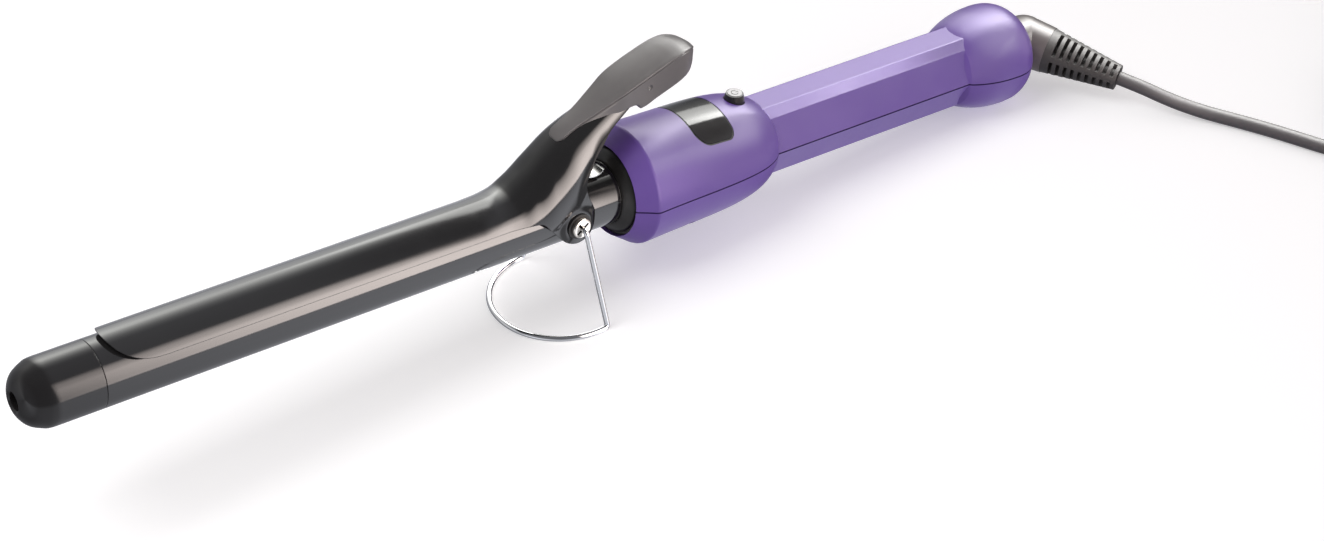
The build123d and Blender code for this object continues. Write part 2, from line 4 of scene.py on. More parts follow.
import bmesh
import bpy
import numpy as np
from mathutils import Matrix, Vector


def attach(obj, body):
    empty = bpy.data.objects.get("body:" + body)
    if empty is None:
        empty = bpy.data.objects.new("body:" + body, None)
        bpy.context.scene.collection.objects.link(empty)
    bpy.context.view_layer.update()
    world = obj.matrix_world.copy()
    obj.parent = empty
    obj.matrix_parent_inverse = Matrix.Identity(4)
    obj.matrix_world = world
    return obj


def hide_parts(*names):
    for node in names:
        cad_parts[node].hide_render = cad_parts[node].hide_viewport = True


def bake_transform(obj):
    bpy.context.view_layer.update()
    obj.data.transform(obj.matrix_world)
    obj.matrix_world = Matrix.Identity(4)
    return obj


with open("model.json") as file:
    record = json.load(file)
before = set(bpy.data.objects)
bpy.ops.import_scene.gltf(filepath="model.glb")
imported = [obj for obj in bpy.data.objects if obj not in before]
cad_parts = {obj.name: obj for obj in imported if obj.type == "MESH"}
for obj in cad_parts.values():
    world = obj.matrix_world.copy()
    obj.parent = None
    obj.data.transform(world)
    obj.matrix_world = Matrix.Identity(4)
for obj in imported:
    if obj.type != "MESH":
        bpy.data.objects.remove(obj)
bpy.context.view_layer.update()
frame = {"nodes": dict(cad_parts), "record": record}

N = frame["nodes"]
D = bpy.data
scene = bpy.context.scene

# The iron's own axes, as in the construction: X along the barrel from the tip, in
# millimetres, tilted nose-up and set down on the floor.
TILT = math.radians(5.6)
CA, SA = math.cos(TILT), math.sin(TILT)
TX, TZ = -207.2277, 55.9275


def W(p):
    p = np.asarray(p, float)
    x, y, z = p[..., 0], p[..., 1], p[..., 2]
    return np.stack([x * CA + z * SA + TX, y, -x * SA + z * CA + TZ], -1) / 1000.0


# ------------------------------------------------------------------ mesh tools
def make_mesh(name, verts, faces, sharp=38.0, smooth=True):
    me = D.meshes.new(name)
    me.from_pydata([tuple(v) for v in verts], [], [tuple(int(i) for i in f) for f in faces])
    me.update()
    ob = D.objects.new(name, me)
    scene.collection.objects.link(ob)
    tidy(ob, sharp, smooth)
    return ob


def tidy(ob, sharp=38.0, smooth=True):
    bm = bmesh.new()
    bm.from_mesh(ob.data)
    bmesh.ops.remove_doubles(bm, verts=bm.verts, dist=2e-7)
    bmesh.ops.dissolve_degenerate(bm, dist=1e-7, edges=bm.edges)
    bmesh.ops.recalc_face_normals(bm, faces=bm.faces)
    for f in bm.faces:
        f.smooth = smooth
    for e in bm.edges:
        e.smooth = not (len(e.link_faces) == 2 and e.calc_face_angle(0) > math.radians(sharp))
    bm.to_mesh(ob.data)
    bm.free()
    ob.data.update()


def interp(xs, ys):
    # smooth monotone-ish curve through points
    xs, ys = np.asarray(xs, float), np.asarray(ys, float)
    h, d = np.diff(xs), np.diff(ys) / np.diff(xs)
    m = np.zeros_like(ys)
    m[0], m[-1] = d[0], d[-1]
    for i in range(1, len(xs) - 1):
        if d[i - 1] * d[i] > 0:
            w1, w2 = 2 * h[i] + h[i - 1], h[i] + 2 * h[i - 1]
            m[i] = (w1 + w2) / (w1 / d[i - 1] + w2 / d[i])

    def f(x):
        x = np.clip(np.asarray(x, float), xs[0], xs[-1])
        i = np.clip(np.searchsorted(xs, x) - 1, 0, len(xs) - 2)
        t = (x - xs[i]) / h[i]
        return ((2 * t ** 3 - 3 * t ** 2 + 1) * ys[i] + (t ** 3 - 2 * t ** 2 + t) * h[i] * m[i]
                + (-2 * t ** 3 + 3 * t ** 2) * ys[i + 1] + (t ** 3 - t ** 2) * h[i] * m[i + 1])
    return f


def curve_through(points, n=8):
    # dense smooth line through flat points
    p = np.asarray(points, float)
    q = np.vstack([2 * p[0] - p[1], p, 2 * p[-1] - p[-2]])
    out = []
    for i in range(1, len(q) - 2):
        for t in np.linspace(0, 1, n, endpoint=False):
            a, b, c, d = q[i - 1], q[i], q[i + 1], q[i + 2]
            out.append(0.5 * (2 * b + (c - a) * t + (2 * a - 5 * b + 4 * c - d) * t ** 2 + (3 * b - a - 3 * c + d) * t ** 3))
    out.append(p[-1])
    return np.array(out)


def smoothstep(t):
    t = np.clip(t, 0, 1)
    return t * t * (3 - 2 * t)


def grid_faces(nu, nv, close_v=False, base=0):
    f = []
    for i in range(nu - 1):
        for j in range(nv if close_v else nv - 1):
            k = (j + 1) % nv
            f.append((base + i * nv + j, base + i * nv + k, base + (i + 1) * nv + k, base + (i + 1) * nv + j))
    return f


def boolean(ob, other, how):
    mod = ob.modifiers.new("cut", "BOOLEAN")
    mod.object = other
    mod.operation = how
    mod.solver = "EXACT"
    bpy.context.view_layer.update()
    dg = bpy.context.evaluated_depsgraph_get()
    me = D.meshes.new_from_object(ob.evaluated_get(dg))
    old = ob.data
    ob.modifiers.clear()
    ob.data = me
    D.meshes.remove(old)
    D.objects.remove(other)
    return ob


def prism(name, outline, y0, y1):
    # flat outline in X and Z, thickened along Y, placed in the resting frame
    o = np.asarray(outline, float)
    n = len(o)
    a = np.column_stack([o[:, 0], np.full(n, y0), o[:, 1]])
    b = np.column_stack([o[:, 0], np.full(n, y1), o[:, 1]])
    faces = [tuple(range(n)), tuple(range(2 * n - 1, n - 1, -1))]
    faces += [(i, (i + 1) % n, n + (i + 1) % n, n + i) for i in range(n)]
    return make_mesh(name, W(np.vstack([a, b])), faces, smooth=False)


# ------------------------------------------------------------------- materials
def new_material(name):
    m = D.materials.new(name)
    m.use_nodes = True
    nt = m.node_tree
    nt.nodes.clear()
    out = nt.nodes.new("ShaderNodeOutputMaterial")
    b = nt.nodes.new("ShaderNodeBsdfPrincipled")
    nt.links.new(b.outputs["BSDF"], out.inputs["Surface"])
    co = nt.nodes.new("ShaderNodeTexCoord")
    return m, nt, b, co.outputs["Object"]


def noise(nt, vec, size, detail=3.0, rough=0.55):
    n = nt.nodes.new("ShaderNodeTexNoise")
    n.inputs["Scale"].default_value = 1.0 / size
    n.inputs["Detail"].default_value = detail
    n.inputs["Roughness"].default_value = rough
    nt.links.new(vec, n.inputs["Vector"])
    return n.outputs["Fac"]


def ramp(nt, fac, stops):
    r = nt.nodes.new("ShaderNodeValToRGB")
    e = r.color_ramp.elements
    while len(e) < len(stops):
        e.new(0.5)
    for k, (pos, col) in enumerate(stops):
        e[k].position = pos
        e[k].color = (*col, 1.0)
    nt.links.new(fac, r.inputs["Fac"])
    return r.outputs["Color"]


def span(nt, fac, lo, hi, f0=0.3, f1=0.7):
    m = nt.nodes.new("ShaderNodeMapRange")
    m.inputs["From Min"].default_value = f0
    m.inputs["From Max"].default_value = f1
    m.inputs["To Min"].default_value = lo
    m.inputs["To Max"].default_value = hi
    nt.links.new(fac, m.inputs["Value"])
    return m.outputs["Result"]


def bumped(nt, b, height, depth, strength=1.0, after=None):
    n = nt.nodes.new("ShaderNodeBump")
    n.inputs["Distance"].default_value = depth
    n.inputs["Strength"].default_value = strength
    nt.links.new(height, n.inputs["Height"])
    if after is not None:
        nt.links.new(after, n.inputs["Normal"])
    nt.links.new(n.outputs["Normal"], b.inputs["Normal"])
    return n.outputs["Normal"]


def surface(name, base, rough, metallic=0.0, vary=0.06, patch=0.02, grain=0.0004, depth=0.0, rough_vary=0.04,
            coat=0.0, coat_rough=0.08, spec=0.5, tint=None, edge=0.0, seam=False,
            recess_shade=0.0):
    m, nt, b, vec = new_material(name)
    base = np.array(base, float)
    other = np.array(tint if tint is not None else base * (1 + vary), float)
    colour = ramp(nt, noise(nt, vec, patch, 4.0), [(0.3, base * (1 - vary)), (0.7, other)])
    if seam:
        # dust and shade in the line where the two shells meet
        d = nt.nodes.new("ShaderNodeVectorMath")
        d.operation = "DOT_PRODUCT"
        d.inputs[1].default_value = (SA * 1000.0, 0.0, CA * 1000.0)
        nt.links.new(vec, d.inputs[0])
        off = TX * SA + TZ * CA
        line = ramp(nt, span(nt, d.outputs["Value"], 0.0, 1.0, off - 1.0, off + 1.0),
                    [(0.0, (1, 1, 1)), (0.34, (1, 1, 1)), (0.41, (0.07, 0.06, 0.1)), (0.59, (0.07, 0.06, 0.1)), (0.66, (1, 1, 1)), (1.0, (1, 1, 1))])
        mul = nt.nodes.new("ShaderNodeVectorMath")
        mul.operation = "MULTIPLY"
        nt.links.new(colour, mul.inputs[0])
        nt.links.new(line, mul.inputs[1])
        colour = mul.outputs[0]
    if recess_shade:
        # painted shade in recesses: the base colour is darkened where ambient occlusion finds nearby surfaces
        ao = nt.nodes.new("ShaderNodeAmbientOcclusion")
        ao.samples = 8
        ao.inputs["Distance"].default_value = recess_shade
        recess_shade_ramp = ramp(nt, ao.outputs["AO"], [(0.0, (0.02, 0.02, 0.02)), (0.5, (0.06, 0.055, 0.05)), (0.78, (1, 1, 1))])
        mul = nt.nodes.new("ShaderNodeVectorMath")
        mul.operation = "MULTIPLY"
        nt.links.new(colour, mul.inputs[0])
        nt.links.new(recess_shade_ramp, mul.inputs[1])
        colour = mul.outputs[0]
    nt.links.new(colour, b.inputs["Base Color"])
    nt.links.new(span(nt, noise(nt, vec, patch * 0.35, 5.0, 0.65), rough - rough_vary, rough + rough_vary), b.inputs["Roughness"])
    b.inputs["Metallic"].default_value = metallic
    b.inputs["Specular IOR Level"].default_value = spec
    if coat:
        b.inputs["Coat Weight"].default_value = coat
        b.inputs["Coat Roughness"].default_value = coat_rough
    soft = None
    if edge:
        # worn, slightly rounded edges
        v = nt.nodes.new("ShaderNodeBevel")
        v.samples = 6
        v.inputs["Radius"].default_value = edge
        soft = v.outputs["Normal"]
        nt.links.new(soft, b.inputs["Normal"])
    if depth:
        bumped(nt, b, noise(nt, vec, grain, 2.0), depth, after=soft)
    return m


M = {}
M["gunmetal"] = surface("gunmetal", (0.014, 0.0135, 0.0135), 0.1, vary=0.08, patch=0.03, grain=0.0005, depth=0.0000008,
                        rough_vary=0.02, spec=0.62, edge=0.00028)
M["tip"] = surface("tip", (0.013, 0.0122, 0.0124), 0.12, vary=0.08, patch=0.02, grain=0.0004, depth=0.000001,
                   rough_vary=0.02, spec=0.5, edge=0.0003)
M["purple"] = surface("purple", (0.153, 0.083, 0.36), 0.36, vary=0.035, patch=0.03, grain=0.00028, depth=0.000006,
                      rough_vary=0.04, spec=0.34, tint=(0.163, 0.089, 0.37), seam=True)
M["pad"] = surface("pad", (0.135, 0.128, 0.126), 0.34, vary=0.08, patch=0.012, grain=0.00032, depth=0.000005, rough_vary=0.05, spec=0.36)
M["collar"] = surface("collar", (0.02, 0.019, 0.018), 0.33, vary=0.12, patch=0.01, grain=0.0003, depth=0.000004)
M["chrome"] = surface("chrome", (0.88, 0.88, 0.89), 0.06, metallic=1.0, vary=0.02, patch=0.01, grain=0.0006,
                      depth=0.000001, rough_vary=0.02)
# nickel screw heads get painted shade in their cross slots and other recesses
M["nickel"] = surface("nickel", (0.86, 0.81, 0.74), 0.2, metallic=1.0, vary=0.05, patch=0.004, grain=0.0003,
                      depth=0.000003, rough_vary=0.05, recess_shade=0.0012)
M["washer"] = surface("washer", (0.012, 0.011, 0.011), 0.5, vary=0.15, patch=0.003, grain=0.0003, depth=0.000006)
M["lens"] = surface("lens", (0.016, 0.016, 0.018), 0.12, vary=0.1, patch=0.01, rough_vary=0.02, spec=0.36)
M["seal"] = surface("seal", (0.006, 0.005, 0.007), 0.5, vary=0.2, patch=0.004, grain=0.0003, depth=0.000004)
M["button"] = surface("button", (0.018, 0.017, 0.018), 0.3, vary=0.12, patch=0.003, grain=0.00025, depth=0.000003)
M["button_cap"] = surface("button_cap", (0.3, 0.295, 0.3), 0.34, metallic=0.15, vary=0.05, patch=0.002, grain=0.00025,
                          depth=0.000003)
M["elbow"] = surface("elbow", (0.14, 0.121, 0.117), 0.32, vary=0.1, patch=0.01, grain=0.0003, depth=0.000003, rough_vary=0.03)
M["relief"] = surface("relief", (0.034, 0.03, 0.03), 0.5, vary=0.12, patch=0.006, grain=0.0003, depth=0.00001)
M["cord"] = surface("cord", (0.075, 0.068, 0.072), 0.5, vary=0.1, patch=0.01, grain=0.0003, depth=0.000012)
M["tie"] = surface("tie", (0.014, 0.014, 0.015), 0.85, vary=0.3, patch=0.0015, grain=0.0002, depth=0.00006, spec=0.2)
M["plug"] = surface("plug", (0.05, 0.047, 0.049), 0.5, vary=0.1, patch=0.008, grain=0.0003, depth=0.000012)
M["plug_pins"] = surface("plug_pins", (0.8, 0.77, 0.7), 0.2, metallic=1.0, vary=0.05, patch=0.004, grain=0.0003, depth=0.000003)
M["steel"] = surface("steel", (0.6, 0.59, 0.57), 0.24, metallic=1.0, vary=0.06, patch=0.004, grain=0.0003, depth=0.000004)
M["aluminium"] = surface("aluminium", (0.72, 0.72, 0.73), 0.35, metallic=1.0, vary=0.05, patch=0.006, grain=0.0004, depth=0.000006)
M["ceramic"] = surface("ceramic", (0.8, 0.79, 0.75), 0.3, vary=0.05, patch=0.005, grain=0.0004, depth=0.000005)
M["contact"] = surface("contact", (0.75, 0.56, 0.26), 0.25, metallic=1.0, vary=0.08, patch=0.003, grain=0.0003, depth=0.000004)
M["inner_plastic"] = surface("inner_plastic", (0.09, 0.09, 0.092), 0.5, vary=0.1, patch=0.006, grain=0.0004, depth=0.00001)
M["board"] = surface("board", (0.03, 0.17, 0.07), 0.4, vary=0.15, patch=0.003, grain=0.0005, depth=0.000008)
M["leads"] = surface("leads", (0.45, 0.06, 0.05), 0.55, vary=0.08, patch=0.005, grain=0.0004, depth=0.000006)
M["sensor"] = surface("sensor", (0.7, 0.66, 0.58), 0.35, vary=0.08, patch=0.003, grain=0.0004, depth=0.000006)

slot_of = {s["node"]: s["material_slot"] for s in frame["record"]["subparts"]}
for node, ob in N.items():
    ob.data.materials.clear()
    ob.data.materials.append(M[slot_of[node]])

# ----------------------------------------------------------------------- clamp
# One pressed sheet: a half-round blade over the barrel that rises into the lever,
# with an ear down each side to the pivots.
LEVER_X = [160.0, 166.0, 174.0, 180.0, 187.0, 194.0, 201.0, 208.0, 215.0, 221.0]
lev_top = interp(LEVER_X, [12.6, 12.64, 13.45, 17.1, 23.2, 28.6, 32.5, 35.6, 38.5, 40.6])
lev_half = interp(LEVER_X, [11.13, 11.2, 11.9, 12.55, 12.8, 12.5, 11.1, 9.0, 7.3, 6.2])
lev_edge = interp(LEVER_X, [5.92, 5.5, 4.2, 3.4, 4.6, 9.0, 16.0, 23.6, 30.0, 34.4])
lev_pow = interp(LEVER_X, [2.0, 2.0, 2.08, 2.15, 2.25, 2.35, 2.4, 2.35, 2.25, 2.2])
PIVOT_X, EAR_Y, BOSS_Y = 195.5, 12.1, 12.6
R_OUT, SHEET = 12.6, 1.0
ts = np.linspace(-1, 1, 57)
drop = np.linspace(0, 26, 53)[1:]
xs = np.concatenate([np.linspace(27.5, 52, 26), np.linspace(52, 160, 28)[1:], np.linspace(160, 184, 31)[1:], np.linspace(184, 206, 45)[1:],
                     np.linspace(206, 221, 19)[1:]])


def section(x):
    th = np.radians(62.0) * ts
    ring = np.column_stack([R_OUT * np.sin(th), R_OUT * np.cos(th)])
    a = ts * math.pi / 2
    s, c = np.sin(a), np.clip(np.cos(a), 0, None)
    k = 2.0 / lev_pow(x)
    w, ze, zt = lev_half(x), lev_edge(x), lev_top(x)
    arch = np.column_stack([w * np.sign(s) * np.abs(s) ** k, ze + (zt - ze) * c ** k])
    b = smoothstep((x - 160.0) / 18.0)
    mid = (1 - b) * ring + b * arch
    # side walls carried straight down, flat at the pivots
    low = []
    for sgn, e in ((-1, mid[0]), (1, mid[-1])):
        z = e[1] - drop
        u = smoothstep(drop / 5.0) * b * smoothstep((205.5 - x) / 5.0)
        # round boss pressed out round the pivot
        rho = np.hypot(x - PIVOT_X, z)
        wall = EAR_Y + (BOSS_Y - EAR_Y) * smoothstep((7.4 - rho) / 2.4)
        y = e[0] + (sgn * wall - e[0]) * u
        low.append(np.column_stack([y, z]))
    return np.vstack([low[0][::-1], mid, low[1]])


outer = np.array([[(x, y, z) for y, z in section(x)] for x in xs])
du = np.gradient(outer, axis=0)
dv = np.gradient(outer, axis=1)
nrm = np.cross(du, dv)
nrm /= np.linalg.norm(nrm, axis=2, keepdims=True)
mid_col = outer.shape[1] // 2
if nrm[10, mid_col, 2] > 0:
    nrm = -nrm
inner = outer + nrm * SHEET
inner[:, :, 0] = outer[:, :, 0]
nu, nv = outer.shape[:2]
verts = np.vstack([outer.reshape(-1, 3), inner.reshape(-1, 3)])
k = nu * nv
faces = grid_faces(nu, nv) + [tuple(reversed(f)) for f in grid_faces(nu, nv, base=k)]
for i in range(nu - 1):
    faces.append((i * nv, (i + 1) * nv, k + (i + 1) * nv, k + i * nv))
    faces.append((i * nv + nv - 1, k + i * nv + nv - 1, k + (i + 1) * nv + nv - 1, (i + 1) * nv + nv - 1))
for j in range(nv - 1):
    faces.append((j, k + j, k + j + 1, j + 1))
    e = (nu - 1) * nv
    faces.append((e + j, e + j + 1, k + e + j + 1, k + e + j))
clamp = make_mesh("clamp", W(verts), faces, smooth=False)
side_line = np.vstack([
    curve_through([(28.7, 13.6), (29.1, 12.6), (29.8, 11.8), (31.2, 10.5), (33.4, 9.1), (36.0, 7.85), (38.8, 7.0), (42.0, 6.5),
                   (46.0, 6.3)], 6),
    [(60.0, 6.25), (110.0, 6.08), (172.0, 5.92), (176.0, 5.88)],
    curve_through([(178.4, 5.8), (180.1, 5.6), (181.8, 4.8), (184.2, 2.1), (186.5, -0.5), (189.2, -3.6), (191.5, -5.6), (194.2, -6.9),
                   (197.0, -7.1), (199.8, -5.7), (201.8, -3.1), (202.6, 0.2), (202.2, 3.6), (200.9, 6.4), (199.4, 9.4), (198.6, 13.0),
                   (199.0, 16.0), (200.8, 19.2), (202.7, 22.4), (205.7, 25.2), (209.1, 28.8), (212.5, 31.2), (216.0, 33.2),
                   (220.4, 36.0)], 7),
    [(220.4, 46.0), (160.0, 46.0), (28.7, 22.0)],
])
clamp = boolean(clamp, prism("clamp_cut", side_line, -22, 22), "INTERSECT")
# pivot holes through the ears
hole = []
for a in np.linspace(0, 2 * math.pi, 40, endpoint=False):
    hole.append((195.5 + 2.05 * math.cos(a), 2.05 * math.sin(a)))
clamp = boolean(clamp, prism("ear_holes", hole, -22, 22), "DIFFERENCE")
tidy(clamp, 32.0)
clamp.data.materials.clear()
clamp.data.materials.append(M["gunmetal"])
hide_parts("clamp_plate")
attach(clamp, "clamp")

# -------------------------------------------------------------- pivot screw heads
# the heads with their cross slots and a softened rim
def mesh_copy(node, name):
    me = N[node].data.copy()
    me.transform(N[node].matrix_world)
    ob = D.objects.new(name, me)
    scene.collection.objects.link(ob)
    return ob


heads = mesh_copy("pivot_screws", "pivot_screw_heads")
for side in (-1, 1):
    for deg in (38.0, 128.0):
        a = math.radians(deg)
        c, sn = math.cos(a), math.sin(a)
        bar = []
        for lx, lz in ((-2.6, -0.42), (2.6, -0.42), (2.6, 0.42), (-2.6, 0.42)):
            bar.append((PIVOT_X + lx * c - lz * sn, lx * sn + lz * c))
        heads = boolean(heads, prism("slot", bar, side * 14.05 if side > 0 else -15.6, 15.6 if side > 0 else -14.05), "DIFFERENCE")
tidy(heads, 30.0)
heads.data.materials.clear()
heads.data.materials.append(M["nickel"])
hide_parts("pivot_screws")
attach(heads, "handle")

# ------------------------------------------------------------------ closing spring
# the leaf spring, cut across into narrow slices along its length
leaf = mesh_copy("clamp_spring", "leaf_spring")
bm = bmesh.new()
bm.from_mesh(leaf.data)
lx = [v.co.x for v in bm.verts]
for x in np.linspace(min(lx), max(lx), 40)[1:-1]:
    bmesh.ops.bisect_plane(bm, geom=bm.verts[:] + bm.edges[:] + bm.faces[:], dist=1e-7, plane_co=(x, 0, 0), plane_no=(1, 0, 0))
bm.to_mesh(leaf.data)
bm.free()
tidy(leaf, 30.0)
leaf.data.materials.clear()
leaf.data.materials.append(M["steel"])
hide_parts("clamp_spring")
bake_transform(leaf)

# ------------------------------------------------------------------- thumb pad
PAD_X = [192.4, 192.6, 193.0, 193.6, 194.6, 197.0, 200.0, 204.0, 208.0, 212.0, 216.0, 220.0, 224.0, 228.0, 232.0, 236.0, 239.5, 242.5,
         245.0, 246.6, 247.3]
pad_h = interp(PAD_X, [1.5, 2.3, 2.85, 3.2, 3.42, 3.55, 3.8, 4.45, 5.3, 6.2, 7.05, 7.35, 7.42, 7.4, 7.3, 7.05, 6.4, 5.3, 3.6, 1.9, 0.35])
pad_c = interp(PAD_X, [27.9, 28.1, 28.5, 29.0, 29.75, 31.1, 32.6, 34.6, 36.75, 38.95, 41.1, 42.85, 44.4, 45.85, 47.25, 48.4, 48.95, 48.6,
                       47.6, 46.4, 45.4])
pad_b = interp([192.4, 196.0, 200.0, 204.0, 208.0, 212.0, 216.0, 219.6, 220.9, 222.2, 224.0, 228.0, 232.0, 236.0, 240.0, 243.0, 245.4, 247.3],
               [24.6, 26.6, 28.6, 30.6, 32.0, 33.2, 34.3, 34.9, 34.6, 33.1, 33.4, 35.0, 36.3, 37.5, 38.5, 39.3, 40.6, 43.0])
pxs = np.concatenate([np.linspace(192.4, 194.6, 14), np.linspace(194.6, 219, 34)[1:], np.linspace(219, 225, 22)[1:],
                      np.linspace(225, 239.5, 20)[1:], np.linspace(239.5, 247.3, 26)[1:]])
rows = []
for x in pxs:
    h, c, b0 = float(pad_h(x)), float(pad_c(x)), float(pad_b(x))
    wall = max(c - b0, 0.6)
    crown = 0.75 * min(h / 7.0, 1.0)
    e = min(0.5, 0.25 * h, 0.25 * wall)          # rounding of the top edge
    g = min(0.32, 0.12 * h)                      # groove under the top edge
    half = [(0.0, c + crown)]
    for t in np.linspace(0.08, 0.86, 10):
        half.append((t * (h - e), c + crown * (1 - t ** 2)))
    half.append((h - e, c + crown * 0.2))
    for a in np.linspace(0, 90, 5)[1:]:
        half.append((h - e + e * math.sin(math.radians(a)), c - e * 0.6 + (e * 0.6 + crown * 0.1) * math.cos(math.radians(a))))
    z0 = c - e * 0.6
    half += [(h, z0 - 0.12), (h - g, z0 - 0.3), (h - g, z0 - 0.55), (h - 0.05, z0 - 0.8)]
    lowr = min(0.6, 0.3 * wall)
    flare = 0.8 * float(smoothstep((216.0 - x) / 16.0)) * min(1.0, h / 3.4)
    for t in np.linspace(0.15, 1.0, 7):
        half.append((h + flare * t, z0 - 0.8 - t * max(wall - e * 0.6 - 0.8 - lowr, 0.05)))
    zb = half[-1][1]
    for a in np.linspace(0, 90, 4)[1:]:
        half.append((h + flare - lowr + lowr * math.cos(math.radians(a)), zb - lowr * math.sin(math.radians(a))))
    half.append((0.45 * h, zb - lowr))
    half.append((0.0, zb - lowr))
    half = np.array(half)
    right = np.column_stack([half[1:-1, 0], half[1:-1, 1]])
    left = right[::-1] * [-1, 1]
    rows.append([(x, *p) for p in np.vstack([half[:1], right, half[-1:], left])])
rows = np.array(rows)
nu, nv = rows.shape[:2]
faces = grid_faces(nu, nv, True)
faces += [tuple(range(nv)), tuple(range((nu - 1) * nv + nv - 1, (nu - 1) * nv - 1, -1))]
pad = make_mesh("thumb_pad_cover", W(rows.reshape(-1, 3)), faces, 40.0)
# seat of the pad over the lever
seat = np.array([[(x, y, z) for y, z in section(x)] for x in np.linspace(188, 220.6, 36)])
su, sv = seat.shape[:2]
faces = grid_faces(su, sv, True) + [tuple(range(sv)), tuple(range((su - 1) * sv + sv - 1, (su - 1) * sv - 1, -1))]
pad = boolean(pad, make_mesh("pad_seat", W(seat.reshape(-1, 3)), faces, smooth=False), "DIFFERENCE")
# small round sink in each side wall
for side in (-1, 1):
    vs, fs = [], []
    for i in range(13):
        for j in range(24):
            a, t = math.pi * (i + 0.5) / 13, 2 * math.pi * j / 24
            vs.append((225.2 + 1.25 * math.sin(a) * math.cos(t), side * 8.1 + 1.25 * math.cos(a), 40.2 + 1.25 * math.sin(a) * math.sin(t)))
    fs = grid_faces(13, 24, True) + [tuple(range(24)), tuple(range(12 * 24 + 23, 12 * 24 - 1, -1))]
    pad = boolean(pad, make_mesh("pad_sink", W(vs), fs, smooth=False), "DIFFERENCE")
tidy(pad, 40.0)
pad.data.materials.clear()
pad.data.materials.append(M["pad"])
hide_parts("thumb_pad")
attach(pad, "clamp")

# ------------------------------------------------------------------------ cord
CORD_R = 2.5
ROUTE = [
    (212.289, -32.852, 10.476), (216.343, -40.758, 9.039), (220.1, -47.2, 6.9), (224.6, -53.6, 4.7), (229.5, -60.9, 3.15),
    (235.0, -70.4, 2.6), (240.2, -81.6, 2.55), (244.4, -92.1, 2.55), (248.2, -102.3, 2.6), (258.2, -122.85, 2.9), (264.2, -135.5, 3.05),
]
TAIL = [(342.1, -117.9, 8.05), (342.6, -107.9, 7.75), (342.4, -98.9, 7.25), (342.1, -91.9, 6.85)]
COIL_C, R_IN, R_BIG = (301.2, -117.9), 19.8, 40.9
turns = 8 + (360.0 - 205.43) / 360.0
per = 16
grow = 1.0 / math.cos(math.pi / per) ** 1.0
coil = []
n = int(round(turns * per))
for i in range(1, n):
    f = i / n
    a = math.radians(205.43 + 360.0 * turns * f)
    r = R_BIG + (R_IN - R_BIG) * min(f, 1 - f) * 2
    z = 3.05 + 5.0 * float(smoothstep((f - 0.5) * turns / 0.5 + 0.5))
    coil.append((COIL_C[0] + r * grow * math.cos(a), COIL_C[1] + r * grow * math.sin(a), z))
points = [tuple(c / 1000.0 for c in p) for p in ROUTE + coil + TAIL]
cu = D.curves.new("cord_line", "CURVE")
cu.dimensions = "3D"
sp = cu.splines.new("NURBS")
sp.points.add(len(points) - 1)
for q, p in zip(sp.points, points):
    q.co = (*p, 1.0)
sp.order_u = 3
sp.use_endpoint_u = True
cu.resolution_u = 8
line = D.objects.new("cord_line", cu)
scene.collection.objects.link(line)
bpy.context.view_layer.update()
lm = D.meshes.new_from_object(line.evaluated_get(bpy.context.evaluated_depsgraph_get()))
path = np.array([tuple(v.co) for v in lm.vertices])
D.meshes.remove(lm)
D.objects.remove(line)
keep = np.concatenate([[True], np.linalg.norm(np.diff(path, axis=0), axis=1) > 1e-6])
path = path[keep]


def tube(name, path, radius, sides=20):
    tan = np.gradient(path, axis=0)
    tan /= np.linalg.norm(tan, axis=1, keepdims=True)
    up = np.array([0.0, 0.0, 1.0])
    u = np.cross(up, tan[0])
    u /= np.linalg.norm(u)
    rings = []
    for i, p in enumerate(path):
        u = u - tan[i] * (u @ tan[i])
        u /= np.linalg.norm(u)
        v = np.cross(tan[i], u)
        a = np.linspace(0, 2 * math.pi, sides, endpoint=False)
        rings.append(p + radius * (np.cos(a)[:, None] * u + np.sin(a)[:, None] * v))
    vs = np.vstack(rings)
    m = len(path)
    fs = grid_faces(m, sides, True) + [tuple(range(sides)), tuple(range((m - 1) * sides + sides - 1, (m - 1) * sides - 1, -1))]
    return make_mesh(name, vs, fs, 50.0)


cord = tube("mains_cord", path, CORD_R / 1000.0)
cord.data.materials.append(M["cord"])
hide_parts("power_cord", "cord_coil", "plug_lead")
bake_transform(cord)

# ----------------------------------------------------------- mark on the button
# plain power mark, a broken ring and a bar, standing a hair proud of the cap
def mark():
    vs, fs = [], []
    zt, zb = 21.05, 20.95

    def strip(a, b):
        base = len(vs)
        for (x0, y0), (x1, y1) in zip(a, b):
            for z in (zb, zt):
                vs.extend([(x0, y0, z), (x1, y1, z)])
        m = len(a)
        for i in range(m - 1):
            p, q = base + 4 * i, base + 4 * (i + 1)
            fs.extend([(p + 2, p + 3, q + 3, q + 2), (p, q, q + 1, p + 1), (p, p + 2, q + 2, q), (p + 1, q + 1, q + 3, p + 3)])
        p, q = base, base + 4 * (m - 1)
        fs.extend([(p, p + 1, p + 3, p + 2), (q, q + 2, q + 3, q + 1)])
    ang = np.radians(np.linspace(38, 322, 40))
    strip([(268 + 1.0 * math.cos(a), 1.0 * math.sin(a)) for a in ang], [(268 + 1.34 * math.cos(a), 1.34 * math.sin(a)) for a in ang])
    strip([(268.35, -0.16), (269.6, -0.16)], [(268.35, 0.16), (269.6, 0.16)])
    ob = make_mesh("power_mark", W(vs), fs, 30.0)
    ob.data.materials.append(M["button"])
    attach(ob, "button")


mark()

# ----------------------------------------------------------- floor, light, view
floor = make_mesh("floor", [(-6, -6, 0), (6, -6, 0), (6, 6, 0), (-6, 6, 0)], [(0, 1, 2, 3)], smooth=False)
fm, nt, b, vec = new_material("floor_white")
b.inputs["Base Color"].default_value = (0.8, 0.8, 0.8, 1.0)
b.inputs["Emission Color"].default_value = (0.34, 0.34, 0.34, 1.0)
b.inputs["Roughness"].default_value = 0.9
b.inputs["Specular IOR Level"].default_value = 0.0
b.inputs["Emission Strength"].default_value = 1.0
floor.data.materials.append(fm)
floor.visible_glossy = False
floor.visible_diffuse = False

